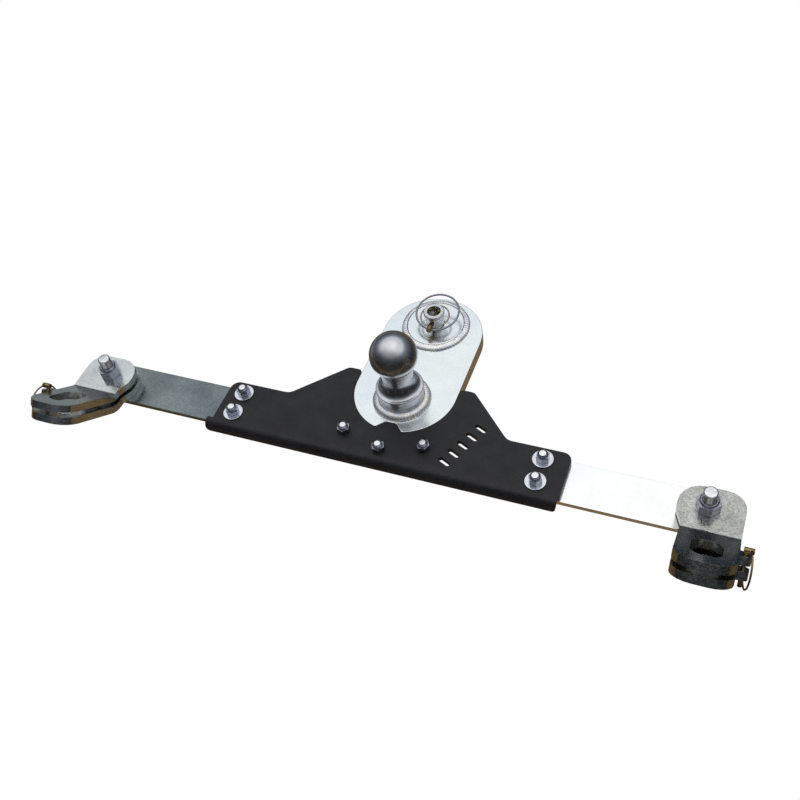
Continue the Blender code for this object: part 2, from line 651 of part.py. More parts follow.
# ---------------------------------------------------------------- cross bars and end brackets
def bar_mesh(side):
    """One bar, measured from its end bolt."""
    end_x, end_y = END_BOLT
    low, high = BAR_FRONT_Y - end_y, BAR_FRONT_Y + BAR_WIDTH - end_y
    inner, outer = BAR_INNER_X - end_x, BAR_OUTER_X - end_x
    loops = [rounded([(inner, low, 4), (outer, low, 10), (outer, high, 10), (inner, high, 4)]),
             circle(0, 0, END_HOLE_R, 24)]
    middle = (BAR_SLOT[0] + BAR_SLOT[1]) / 2 - end_x
    half = (BAR_SLOT[1] - BAR_SLOT[0]) / 2 - BOLT_HOLE_R
    loops += [slot(middle, y - end_y, half, BOLT_HOLE_R) for y in BOLT_ROW_Y]
    top = -SHEET - GAP
    return flat([mirrored(loop, side) for loop in loops], top - BAR_T, top)


def bracket_mesh(side, z_bottom, inner_r, tongue_length):
    """One bent bracket plate, measured from the end bolt; inner_r is its own inside bend radius."""
    z_top = z_bottom + BRACKET_T
    bend_run = (inner_r + BRACKET_T / 2) * math.radians(BEND_DEG)
    tip = BEND_START_Y - bend_run - tongue_length
    ear = BEND_START_Y - bend_run - EAR_CENTRE
    eye = BEND_START_Y - bend_run - EYE_CENTRE
    outline = rounded([
        (TONGUE_INNER, tip, NOSE_R), (HEAD_OUTER, tip, NOSE_R), (HEAD_OUTER, ear - EAR_HALF - 1.5, 2),
        (EAR_X + EAR_OUT, ear - EAR_HALF, 5), (EAR_X + EAR_OUT, ear + EAR_HALF, 5),
        (HEAD_OUTER, ear + EAR_HALF + 1.5, 2), (HEAD_OUTER, HEAD_BACK, 22), (HEAD_INNER, HEAD_BACK, 26),
        (HEAD_INNER, HEAD_KNEE_Y, 8), (TONGUE_INNER, BEND_START_Y + 4, 4)])
    centre_x = (HEAD_OUTER + TONGUE_INNER) / 2
    loops = [outline, circle(0, 0, END_HOLE_R, 24), slot(centre_x, eye, EYE_HALF, EYE_R, 90.0, 10),
             circle(EAR_X, ear, PIN_HOLE_R, 16)]
    mesh = flat([mirrored(loop, side) for loop in loops], z_bottom, z_top)
    return folded(mesh, BEND_START_Y, BEND_DEG, inner_r, z_bottom, z_top, upwards=True)


def tongue_point(along, above):
    """Place on the tongue, (y, z) from the end bolt: along it from the bend's end, above its top face."""
    a = math.radians(BEND_DEG)
    y = BEND_START_Y - BEND_R * math.sin(a) - along * math.cos(a) + above * math.sin(a)
    z = upper_top + BEND_R * (1 - math.cos(a)) + along * math.sin(a) + above * math.cos(a)
    return y, z


lower_z = -SHEET
upper_z = lower_z + BRACKET_T + BRACKET_GAP
upper_top = upper_z + BRACKET_T
end_nut = lock_nut(END_NUT_AF, END_NUT_HEX, END_NUT_TOTAL, END_NUT_COLLAR_R, END_BOLT_R)
end_bolt_seat = -SHEET - GAP - BAR_T - GAP
end_bolt = hex_bolt(END_NUT_AF, END_BOLT_HEAD, END_BOLT_R, END_BOLT_TOP_Z - end_bolt_seat)
wing_bolt = hex_bolt(NUT_AF, BOLT_HEAD, BOLT_R, GAP + WASHER_T + GAP + NUT_TOTAL + 1.2 - end_bolt_seat)
washer = ring(BOLT_R + 0.8, WASHER_R, GAP, GAP + WASHER_T, 24)
bracket_spacer = ring(END_HOLE_R, 14.0, lower_z + BRACKET_T + GAP, upper_z - GAP, 24)


def linch_pin(side):
    """Pin along -Z from a cross head whose eye is RING_OFFSET out from the shaft."""
    shaft = rod(PIN_R, -PIN_TIP, 0, 16)
    head = moved(rod(PIN_HEAD_R, -3.0, 7.6, 20), rotation=(0, 90 * side, 0))
    eye = moved(rod(1.75, -8, 8, 16), (side * RING_OFFSET, 0, 0), (90, 0, 0))
    turn = Matrix.Rotation(math.radians(side * RING_TURN_DEG), 4, "Z")
    pivot = Matrix.Translation((side * RING_OFFSET * MM, 0, 0))
    eye.transform(pivot @ turn @ pivot.inverted())
    return cut(joined(shaft, head), eye)


for name, side in SIDES.items():
    place = (side * END_BOLT[0], END_BOLT[1], 0)
    bar_slide = empty(f"bar_slide_{name}", place, parent=PLATE_FRAME)
    node(f"bar_{name}", bar_mesh(side), ZINC, parent=bar_slide)
    node(f"end_bolt_{name}", end_bolt, FASTENER, location=(0, 0, end_bolt_seat), parent=bar_slide)
    node(f"end_nut_{name}", end_nut, FASTENER, location=(0, 0, upper_top + GAP),
         rotation=(0, 0, 20 * side), parent=bar_slide)
    swivel = empty(f"bracket_swivel_{name}", (0, 0, 0), parent=bar_slide)
    upper = bracket_mesh(side, upper_z, BEND_R, TONGUE_LENGTH)
    node(f"bracket_upper_{name}", upper, DARK_ZINC, parent=swivel)
    lower_r = BEND_R + BRACKET_T + BRACKET_GAP
    lower = bracket_mesh(side, lower_z, lower_r, TONGUE_LENGTH - LOWER_TONGUE_SHORT)
    node(f"bracket_lower_{name}", lower, DARK_ZINC, parent=swivel)
    node(f"bracket_spacer_{name}", bracket_spacer, DARK_ZINC, parent=swivel)
    pin_y, pin_z = tongue_point(EAR_CENTRE, PIN_HEAD_LIFT)
    pin_slide = empty(f"bracket_pin_slide_{name}", (side * EAR_X, pin_y, pin_z), parent=swivel)
    pin_slide.rotation_euler.x = -math.radians(BEND_DEG)
    node(f"bracket_pin_{name}", linch_pin(side), YELLOW_ZINC, parent=pin_slide)
    loop = moved(torus(RING_R, RING_WIRE_R), (0, 0, 0), (0, 90, 0))
    loop = moved(loop, (0, 0, -RING_R))
    node(f"bracket_ring_{name}", loop, YELLOW_ZINC, location=(side * RING_OFFSET, 0, 0),
         rotation=(0, 0, side * RING_TURN_DEG), parent=pin_slide)
    for row, y in zip(("front", "back"), BOLT_ROW_Y):
        x = side * BAR_BOLT_X[name]
        node(f"wing_bolt_{name}_{row}", wing_bolt, FASTENER, location=(x, y, end_bolt_seat))
        node(f"wing_washer_{name}_{row}", washer, FASTENER, location=(x, y, 0))
        node(f"wing_nut_{name}_{row}", small_nut, FASTENER, location=(x, y, GAP + WASHER_T + GAP),
             rotation=(0, 0, 25 if row == "front" else 5))
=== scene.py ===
"""Studio scene of a weight distribution hitch in its real finishes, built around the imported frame."""
import json
import math

import bmesh
import bpy
from mathutils import Matrix, Vector

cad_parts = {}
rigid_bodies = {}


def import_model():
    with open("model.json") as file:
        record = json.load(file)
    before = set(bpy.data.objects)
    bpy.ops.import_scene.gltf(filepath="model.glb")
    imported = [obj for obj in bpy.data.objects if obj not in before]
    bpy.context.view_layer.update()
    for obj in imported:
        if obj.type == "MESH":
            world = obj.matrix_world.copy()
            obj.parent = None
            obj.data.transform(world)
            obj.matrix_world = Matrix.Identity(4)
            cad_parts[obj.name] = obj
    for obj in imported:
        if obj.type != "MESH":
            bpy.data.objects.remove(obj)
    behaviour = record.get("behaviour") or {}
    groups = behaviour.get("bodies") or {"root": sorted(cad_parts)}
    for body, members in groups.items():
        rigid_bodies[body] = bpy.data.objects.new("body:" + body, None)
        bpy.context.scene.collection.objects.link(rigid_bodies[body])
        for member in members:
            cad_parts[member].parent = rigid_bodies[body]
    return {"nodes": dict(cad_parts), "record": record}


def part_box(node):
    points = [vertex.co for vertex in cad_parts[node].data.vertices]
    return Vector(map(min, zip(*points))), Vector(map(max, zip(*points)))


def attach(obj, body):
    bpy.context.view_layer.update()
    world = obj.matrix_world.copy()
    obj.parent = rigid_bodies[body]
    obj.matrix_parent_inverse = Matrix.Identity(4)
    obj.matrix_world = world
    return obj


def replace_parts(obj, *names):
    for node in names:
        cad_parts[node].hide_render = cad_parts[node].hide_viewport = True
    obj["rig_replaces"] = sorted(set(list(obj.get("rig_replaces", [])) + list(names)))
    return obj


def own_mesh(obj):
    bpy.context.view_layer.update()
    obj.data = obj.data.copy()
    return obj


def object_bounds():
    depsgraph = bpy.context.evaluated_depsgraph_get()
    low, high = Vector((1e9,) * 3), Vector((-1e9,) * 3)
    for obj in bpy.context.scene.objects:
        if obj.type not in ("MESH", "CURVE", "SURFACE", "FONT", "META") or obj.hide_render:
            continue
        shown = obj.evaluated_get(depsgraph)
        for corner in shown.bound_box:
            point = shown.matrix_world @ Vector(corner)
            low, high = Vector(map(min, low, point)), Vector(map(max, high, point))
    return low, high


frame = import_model()
cad_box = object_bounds()

MM = 0.001
PLATE_TOP = 19.05 * MM          # the body plate's top face stands this high over the shank's seat
SHANK_Y = 220.7                 # the plate frame's Y of the shank's axis, in millimetres
MERGE = 1e-6                    # a solid's corners closer than this, in metres, are one corner
SEAM_MERGE = 1e-7               # the same for a spun piece's poles and seam
NODES = frame["nodes"]
RECORD = frame["record"]
SLOT_OF = {row["node"]: row["material_slot"] for row in RECORD["subparts"]}
BODY_OF = {node: body for body, names in RECORD["behaviour"]["bodies"].items() for node in names}


def plate_point(x, y, z):
    """Millimetres in the plate frame to metres in the row frame."""
    return Vector((x * MM, y * MM - SHANK_Y * MM, z * MM + PLATE_TOP))


# ---------------------------------------------------------------- finishes
NOISE_LOW, NOISE_HIGH = 0.3, 0.7     # the part of a noise that is stretched to a finish's range
WAVE_LENGTH = math.tau / 20          # one repeat of a wave texture at scale 1
DUST_MM = 0.9091
HEAT_TINT_MM = 14.286


def linear(hexadecimal):
    """An sRGB colour, written as RRGGBB, in the scene's linear values."""
    channels = [int(hexadecimal[i:i + 2], 16) / 255 for i in (0, 2, 4)]
    return [c / 12.92 if c <= 0.04045 else ((c + 0.055) / 1.055) ** 2.4 for c in channels] + [1.0]


def grey(value):
    return [value, value, value, 1.0]


def add_node(tree, kind, inputs=None, output=0, stops=None, easing="LINEAR", **settings):
    """Adds a shader node with its settings, values, links and colour stops; gives back one output."""
    made = tree.nodes.new(kind)
    for name, value in settings.items():
        setattr(made, name, value)
    for name, value in (inputs or {}).items():
        if isinstance(value, bpy.types.NodeSocket):
            tree.links.new(value, made.inputs[name])
        else:
            made.inputs[name].default_value = value
    if stops:
        made.color_ramp.interpolation = easing
        elements = made.color_ramp.elements
        while len(elements) < len(stops):
            elements.new(0.5)
        for element, (place, colour) in zip(elements, stops):
            element.position = place
            element.color = colour
    return made.outputs[output] if made.outputs else made


def new_finish(name, metallic, roughness):
    """A material with its tree, its shader's inputs and the piece's own coordinates."""
    made = bpy.data.materials.new(name)
    made.use_nodes = True
    tree = made.node_tree
    inputs = tree.nodes["Principled BSDF"].inputs
    inputs["Metallic"].default_value = metallic
    inputs["Roughness"].default_value = roughness
    return made, tree, inputs, add_node(tree, "ShaderNodeTexCoord", output="Object")


def drifting(tree, place, size_mm, low, high, detail, fractal=0.5):
    """A value that drifts from low to high in clouds of one size."""
    clouds = add_node(tree, "ShaderNodeTexNoise", {
        "Vector": place, "Scale": 1 / (size_mm * MM), "Detail": detail, "Roughness": fractal}, "Fac")
    return add_node(tree, "ShaderNodeMapRange", {
        "Value": clouds, "From Min": NOISE_LOW, "From Max": NOISE_HIGH, "To Min": low, "To Max": high})


def toned(tree, place, size_mm, dark, pale, detail, fractal=0.6):
    """A colour that drifts from dark to pale in clouds of one size."""
    share = drifting(tree, place, size_mm, 0.0, 1.0, detail, fractal)
    return add_node(tree, "ShaderNodeMix", {0: share, 6: linear(dark), 7: linear(pale)}, 2,
                    data_type="RGBA")


def dimpled(tree, place, size_mm, depth_mm, strength, detail, under=None):
    """Shallow relief in dimples of one size, laid over the relief under it."""
    clouds = add_node(tree, "ShaderNodeTexNoise", {
        "Vector": place, "Scale": 1 / (size_mm * MM), "Detail": detail}, "Fac")
    inputs = {"Height": clouds, "Strength": strength, "Distance": depth_mm * MM}
    return add_node(tree, "ShaderNodeBump", inputs | ({} if under is None else {"Normal": under}))


def zinc_finish(name, dark, pale, tint, roughness, spangle_mm, grain, tint_share=0.35):
    """Electroplated zinc on steel plate. The eye sees a bright soft mirror, cloudy in tone, with fine
    crystal grain and a faint chromate tint."""
    made, tree, inputs, place = new_finish(name, 1.0, roughness)
    base = toned(tree, place, 35.71, dark, pale, 4.0)
    share = drifting(tree, place, 58.82, 0.0, tint_share, 3.0, 0.55)
    base = add_node(tree, "ShaderNodeMix", {0: share, 6: base, 7: linear(tint)}, 2, data_type="RGBA")
    # Plated grain is far finer than this, and is drawn coarser to show
    crystals = add_node(tree, "ShaderNodeTexVoronoi", {
        "Vector": place, "Scale": 1 / (spangle_mm * MM)}, "Color")
    speck = add_node(tree, "ShaderNodeSeparateColor", {"Color": crystals}, "Red")
    fleck = add_node(tree, "ShaderNodeValToRGB", {"Fac": speck},
                     stops=[(0.0, grey(1 - grain)), (1.0, grey(1 + grain / 4))])
    base = add_node(tree, "ShaderNodeMix", {0: 1.0, 6: base, 7: fleck}, 2,
                    data_type="RGBA", blend_type="MULTIPLY")
    gloss = add_node(tree, "ShaderNodeMapRange", {
        "Value": speck, "From Min": NOISE_LOW, "From Max": NOISE_HIGH,
        "To Min": roughness - 0.04, "To Max": roughness + 0.05})
    # The frosting's crystals are drawn coarser than real to show
    frosted = dimpled(tree, place, 0.7143, 0.05, 0.12, 3.0)
    tree.links.new(base, inputs["Base Color"])
    tree.links.new(gloss, inputs["Roughness"])
    tree.links.new(dimpled(tree, place, 11.11, 0.3, 0.06, 2.0, frosted), inputs["Normal"])
    return made


def powder_coat_finish():
    """Black polyester powder coat. The eye sees satin black with an orange-peel skin and a few dusty
    flecks."""
    made, tree, inputs, place = new_finish("powder_coat", 0.0, 0.46)
    inputs["Specular IOR Level"].default_value = 0.30
    base = toned(tree, place, 45.45, "101013", "1A1A1E", 4.0)
    # Dust specks are a tenth of a millimetre or so, and are drawn coarser to show
    dust = add_node(tree, "ShaderNodeTexNoise", {
        "Vector": place, "Scale": 1 / (DUST_MM * MM), "Detail": 2.0, "Roughness": 0.7}, "Fac")
    flecks = add_node(tree, "ShaderNodeValToRGB", {"Fac": dust},
                      stops=[(0.58, grey(0.0)), (0.70, grey(0.30))])
    base = add_node(tree, "ShaderNodeMix", {0: flecks, 6: base, 7: linear("6A6A6E")}, 2, data_type="RGBA")
    peel = dimpled(tree, place, 1.923, 0.18, 0.35, 2.0)
    tree.links.new(base, inputs["Base Color"])
    tree.links.new(drifting(tree, place, 16.67, 0.40, 0.52, 3.0), inputs["Roughness"])
    tree.links.new(dimpled(tree, place, 0.5263, 0.06, 0.3, 2.0, peel), inputs["Normal"])
    return made


def turned_steel_finish(name, dark, pale, roughness, centre, ring_mm):
    """Forged steel turned on a lathe. The eye sees satin grey with soft highlights and fine rings."""
    made, tree, inputs, place = new_finish(name, 1.0, roughness)
    centred = add_node(tree, "ShaderNodeMapping", {"Vector": place, "Location": [-c for c in centre]})
    # A lathe's lines are a few tenths of a millimetre apart, so they are drawn coarser to show
    rings = add_node(tree, "ShaderNodeTexWave", {
        "Vector": centred, "Scale": WAVE_LENGTH / (ring_mm * MM), "Distortion": 0.6, "Detail": 2.0}, "Fac",
        wave_type="BANDS", bands_direction="Z")
    lines = add_node(tree, "ShaderNodeBump", {"Height": rings, "Strength": 0.08, "Distance": 0.04 * MM})
    tree.links.new(toned(tree, place, 22.22, dark, pale, 4.0), inputs["Base Color"])
    gloss = drifting(tree, place, 16.67, roughness - 0.03, roughness + 0.04, 2.0)
    tree.links.new(gloss, inputs["Roughness"])
    tree.links.new(dimpled(tree, place, 0.6667, 0.04, 0.08, 2.0, lines), inputs["Normal"])
    return made


def weld_finish(name, cool, warm):
    """Plated arc weld. The eye sees a rough silver bead with blue and straw heat tints."""
    made, tree, inputs, place = new_finish(name, 0.9, 0.44)
    heat = add_node(tree, "ShaderNodeTexNoise", {
        "Vector": place, "Scale": 1 / (HEAT_TINT_MM * MM), "Detail": 3.0, "Roughness": 0.6}, "Fac")
    tint = add_node(tree, "ShaderNodeValToRGB", {"Fac": heat}, stops=[
        (0.30, linear(cool)), (0.45, linear("E2E4EA")), (0.58, linear("F3F2EC")), (0.72, linear(warm))])
    tree.links.new(tint, inputs["Base Color"])
    tree.links.new(drifting(tree, place, 2.0, 0.34, 0.55, 3.0), inputs["Roughness"])
    tree.links.new(dimpled(tree, place, 2.381, 0.4, 0.35, 4.0), inputs["Normal"])
    return made


def fastener_finish(name, dark, pale, roughness):
    """Bright zinc on small steel pieces. The eye sees a smooth mirror with faint tool marks."""
    made, tree, inputs, place = new_finish(name, 1.0, roughness)
    tree.links.new(toned(tree, place, 3.125, dark, pale, 3.0), inputs["Base Color"])
    gloss = drifting(tree, place, 1.4286, roughness - 0.06, roughness + 0.08, 2.0)
    tree.links.new(gloss, inputs["Roughness"])
    tree.links.new(dimpled(tree, place, 1.1111, 0.1, 0.2, 3.0), inputs["Normal"])
    return made


def rolled_thread_finish(name, dark, pale, roughness, pitch_mm):
    """Zinc on a rolled thread. The eye sees bright turns and dark grooves across the bolt."""
    made, tree, inputs, place = new_finish(name, 1.0, roughness)
    turns = add_node(tree, "ShaderNodeTexWave", {
        "Vector": place, "Scale": WAVE_LENGTH / (pitch_mm * MM), "Distortion": 0.0}, "Fac",
        wave_type="BANDS", bands_direction="Z", wave_profile="TRI")
    grooves = add_node(tree, "ShaderNodeBump", {"Height": turns, "Strength": 0.8, "Distance": 0.6 * MM})
    tree.links.new(toned(tree, place, 3.125, dark, pale, 3.0), inputs["Base Color"])
    tree.links.new(grooves, inputs["Normal"])
    return made


# The tow ball, in millimetres
BALL_AXIS = plate_point(0, 92.1, 0)
BALL_R = 29.37
BALL_Z = 81.7
NECK_R = 19.4
FLARE_HEIGHT = 17.0
COLLAR_R = 30.0
COLLAR_Z = 25.0
SPIGOT_R = 15.6
SPIGOT_Z = -18.5
FOOT = 0.3                      # pieces that touch stand this far apart

FINISHES = {
    # Satin black on the folded plate and the plate under it
    "powder_coat": powder_coat_finish(),
    # Clear bright zinc on the thick ball plate and the shank
    "zinc_bright": zinc_finish("zinc_bright", "E1E9EF", "F2F8FB", "EFF0E6", 0.24, 1.1, 0.05),
    # Clear zinc on the right bar, smoother, its colour brightened with painted light
    "zinc_right_painted_light": zinc_finish("zinc_right_painted_light", "F8FAFA", "FFFFFF", "FAFAF5", 0.22, 1.1, 0.03, 0.2),
    # Zinc on the left bar, its colour darkened with painted shade, and more spangled
    "zinc_left_painted_shade": zinc_finish("zinc_left_painted_shade", "6E777C", "8E979B", "868B84", 0.26, 1.3, 0.30),
    # Zinc on the bracket plates and the spacers, with a coarse spangle
    "zinc_spangle": zinc_finish("zinc_spangle", "C0C5C7", "E6E9E9", "D6D4C8", 0.20, 1.5, 0.20),
    # The right bracket's zinc, its colour darkened with painted shade, with a stronger speckle
    "zinc_bracket_painted_shade": zinc_finish("zinc_bracket_painted_shade", "A0A3A2", "C6C9C6", "BCBAAC", 0.20, 1.6, 0.38),
    # Satin turned steel of the tow ball
    "ball_steel": turned_steel_finish(
        "ball_steel", "B4B6BC", "D2D4D8", 0.25, plate_point(0, 92.1, BALL_Z), 1.3635),
    # Plated weld beads
    "weld": weld_finish("weld", "C3C6DA", "DCD0BA"),
    # Nuts and screws, in a bright zinc that mirrors what stands round them, its colour darkened with painted
    # shade
    "fastener": fastener_finish("fastener", "7C808D", "A9ADB8", 0.14),
    # Washers, brighter than the nuts, whose colour carries painted shade
    "washer": fastener_finish("washer", "C6CBD6", "E6E9F0", 0.16),
    # 3/8 in bolts, whose few turns outside the nuts are drawn in relief
    "small_thread": rolled_thread_finish("small_thread", "DDE0E6", "F6F7F9", 0.22, 1.5791),
    # 5/8 in bolts, whose turns are cut in the mesh
    "large_thread": fastener_finish("large_thread", "C8CBD2", "F0F2F4", 0.18),
    # Yellow chromate on the pins and the bracket rings
    "yellow_zinc": fastener_finish("yellow_zinc", "6B5D42", "A4905F", 0.26),
    # The cross pin's ring, its yellow chromate mostly worn to grey
    "worn_zinc": fastener_finish("worn_zinc", "8A8078", "C6BEB4", 0.24),
    # Bright spring wire of the lock's spring and the pull ring
    "wire": fastener_finish("wire", "777880", "A5A6AD", 0.20),
    # Machined steel of the lock
    "machined": fastener_finish("machined", "B5B7BB", "DEE0E3", 0.22),
}
FINISH_OF_SLOT = {"zinc": "zinc_bright", "dark_zinc": "zinc_spangle"}     # the others share their slot's name
FINISH_OF_NODE = {
    # The right bar's finish carries painted light in its colour, the left bar's painted shade
    "bar_left": "zinc_left_painted_shade", "bar_right": "zinc_right_painted_light", "spindle_pin_ring": "worn_zinc",
    # The right brackets' finish carries painted shade in its colour
    "bracket_upper_right": "zinc_bracket_painted_shade", "bracket_lower_right": "zinc_bracket_painted_shade",
    "end_bolt_left": "large_thread", "end_bolt_right": "large_thread",
}


def finish_of(node):
    """The finish of a node's piece: its own, its family's or its slot's."""
    slot = SLOT_OF[node]
    family = "washer" if node.startswith("wing_washer") else None
    if node.startswith(("centre_bolt", "wing_bolt")):
        family = "small_thread"
    return FINISHES[FINISH_OF_NODE.get(node) or family or FINISH_OF_SLOT.get(slot, slot)]


# ---------------------------------------------------------------- pieces
FLAT_WEIGHT = 80                # how strongly a broad face keeps the shading of its rounded edges flat


def finished(piece, node, sharp_deg):
    """Shades the piece, lets it ride with the node's body and stand for the node."""
    bpy.context.scene.collection.objects.link(piece)
    mesh = piece.data
    mesh.materials.clear()
    mesh.materials.append(finish_of(node))
    mesh.shade_smooth()
    mesh.set_sharp_from_angle(angle=math.radians(sharp_deg))
    weighted = piece.modifiers.new("flat_faces_stay_flat", "WEIGHTED_NORMAL")
    weighted.keep_sharp = True
    weighted.weight = FLAT_WEIGHT
    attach(piece, BODY_OF[node])
    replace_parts(piece, node)
    return piece


def merged(node):
    """The node's solid with its loose triangles joined."""
    work = bmesh.new()
    work.from_mesh(NODES[node].data)
    bmesh.ops.remove_doubles(work, verts=work.verts, dist=MERGE)
    return work


def piece_of(work, name):
    mesh = bpy.data.meshes.new(name)
    work.to_mesh(mesh)
    work.free()
    return bpy.data.objects.new(name, mesh)


def eased(node, width_mm, segments=2, sharp_deg=32):
    """A copy of a node's solid with its sharp edges rounded over."""
    work = merged(node)
    bmesh.ops.dissolve_limit(work, angle_limit=math.radians(1.0), verts=work.verts, edges=work.edges)
    limit = math.radians(sharp_deg)
    edges = [e for e in work.edges if len(e.link_faces) == 2 and e.calc_face_angle(0.0) > limit]
    bmesh.ops.bevel(work, geom=edges, offset=width_mm * MM, offset_type="OFFSET", segments=segments,
                    profile=0.5, affect="EDGES", clamp_overlap=True, material=-1)
    bmesh.ops.triangulate(work, faces=[f for f in work.faces if len(f.verts) > 4])
    return finished(piece_of(work, node + "_eased"), node, sharp_deg + 8)


def spun(name, profile, steps, place=Matrix(), closed=False):
    """A profile of (radius, z) in millimetres spun about Z, then put in its place."""
    work = bmesh.new()
    verts = [work.verts.new((r * MM, 0, z * MM)) for r, z in profile]
    edges = [work.edges.new(pair) for pair in zip(verts, verts[1:] + (verts[:1] if closed else []))]
    bmesh.ops.spin(work, geom=verts + edges, cent=(0, 0, 0), axis=(0, 0, 1), angle=math.tau, steps=steps,
                   use_merge=True)
    bmesh.ops.remove_doubles(work, verts=work.verts, dist=SEAM_MERGE)
    bmesh.ops.recalc_face_normals(work, faces=work.faces)
    bmesh.ops.transform(work, matrix=place, verts=work.verts)
    return piece_of(work, name)


def arc_points(cx, cz, radius, start_deg, end_deg, steps):
    angles = [math.radians(start_deg + (end_deg - start_deg) * k / steps) for k in range(steps + 1)]
    return [(cx + radius * math.cos(a), cz + radius * math.sin(a)) for a in angles]


# The tow ball with its neck, its flare and its round collar
sphere_end = math.degrees(math.asin(-math.sqrt(BALL_R ** 2 - NECK_R ** 2) / BALL_R))
ball_profile = [(0.0, BALL_Z + BALL_R)] + arc_points(0, BALL_Z, BALL_R, 90, sphere_end + 3, 40)[1:]
flare_r = COLLAR_R - 1.5 - NECK_R
ball_profile += [(NECK_R + flare_r + x, COLLAR_Z + 0.6 + FLARE_HEIGHT + z * FLARE_HEIGHT / flare_r)
                 for x, z in arc_points(0, 0, flare_r, 180, 268, 24)]
ball_profile += arc_points(COLLAR_R - 1.2, COLLAR_Z - 0.8, 1.2, 80, 0, 5)
ball_profile += arc_points(COLLAR_R - 1.0, COLLAR_Z - 4.0, 0.8, 0, -70, 4)
ball_profile += [(COLLAR_R - 0.8, COLLAR_Z - 5.2), (COLLAR_R - 0.8, FOOT), (SPIGOT_R, FOOT),
                 (SPIGOT_R, SPIGOT_Z), (0.0, SPIGOT_Z)]
finished(spun("hitch_ball_turned", ball_profile, 96, Matrix.Translation(BALL_AXIS)), "hitch_ball", 40)

RIPPLE_STEPS = 8                # steps round a bead for each of its ripples
CROWN_FULLNESS = 0.9            # below 1 a bead's face is fuller than a round one
RIPPLE_MM = 0.6
WANDER_MM = 0.45
CRESCENT_BEND = 7.2             # how far a ripple's ends trail behind its middle
ROOT_SHARE = 0.02               # nearer the post than this share of the leg, a bead stays as it was spun


def weld_bead(node, inner, leg, height, axis, ripples):
    """A fillet bead laid round a post, with curved ripples and a hand's slow wander."""
    profile = [(inner, FOOT), (inner + leg * 0.55, FOOT), (inner + leg, FOOT + 0.05)]
    profile += [(inner + leg * math.sin(math.radians(a)) ** CROWN_FULLNESS,
                 FOOT + (height - FOOT) * math.cos(math.radians(a)) ** CROWN_FULLNESS)
                for a in range(78, 0, -12)]
    profile += [(inner, height), (inner, FOOT)]
    bead = spun(node + "_rippled", profile, ripples * RIPPLE_STEPS)
    for vert in bead.data.vertices:
        radius = math.hypot(vert.co.x, vert.co.y) / MM
        rise = max(0.0, (vert.co.z / MM - FOOT) / height)
        across = (radius - inner) / leg
        if across < ROOT_SHARE:
            continue
        turn = math.atan2(vert.co.y, vert.co.x)
        crescent = turn * ripples + CRESCENT_BEND * (across - 0.5) ** 2
        wander = 0.35 * math.sin(turn * 5 + 0.7) + 0.25 * math.sin(turn * 11 + 2.1)
        lift = RIPPLE_MM * abs(math.sin(crescent / 2)) ** 0.7 + WANDER_MM * wander
        lift *= min(1.0, 4 * rise + across)
        push = 1 + (lift - 0.15) * across / radius
        vert.co.x *= push
        vert.co.y *= push
        if rise > 0:
            vert.co.z += (lift - 0.3) * 0.7 * MM * (1 - across * 0.4)
        vert.co.z = max(vert.co.z, FOOT * MM)
    bead.data.transform(Matrix.Translation(axis))
    return finished(bead, node, 60)


weld_bead("ball_weld", COLLAR_R - 0.5, 7.3, 7.5, BALL_AXIS, 56)
weld_bead("shank_weld", 38.3, 6.8, 4.3, plate_point(0, SHANK_Y, 0), 72)


def wire_ring(node, wire_mm):
    """A round ring in the place, tilt and size of the node's own."""
    source = NODES[node].data
    centre = sum((v.co for v in source.vertices), Vector()) / len(source.vertices)
    places = [v.co - centre for v in source.vertices]
    far = max(places, key=lambda p: p.length)
    beside = max(places, key=lambda p: far.cross(p).length)
    normal = far.cross(beside).normalized()
    across = max(abs(p.dot(normal)) for p in places)
    radius = max((p - normal * p.dot(normal)).length for p in places) - across
    loop = arc_points(radius / MM, 0, wire_mm, 0, 360, 14)[:-1]
    turn = Vector((0, 0, 1)).rotation_difference(normal).to_matrix().to_4x4()
    ring = spun(node + "_wire", loop, 96, Matrix.Translation(centre) @ turn, closed=True)
    return finished(ring, node, 60)


for ring, wire_mm in {"pull_ring": 1.3, "spindle_pin_ring": 1.05, "bracket_ring_left": 1.05,
                      "bracket_ring_right": 1.05}.items():
    wire_ring(ring, wire_mm)

THREAD_ROWS = 8                 # rows of corners for each turn of a thread
THREAD_STEPS = 60
TIP_CHAMFER = 1.6
TIP_MM = 1.1                    # length of the tip's unthreaded lead


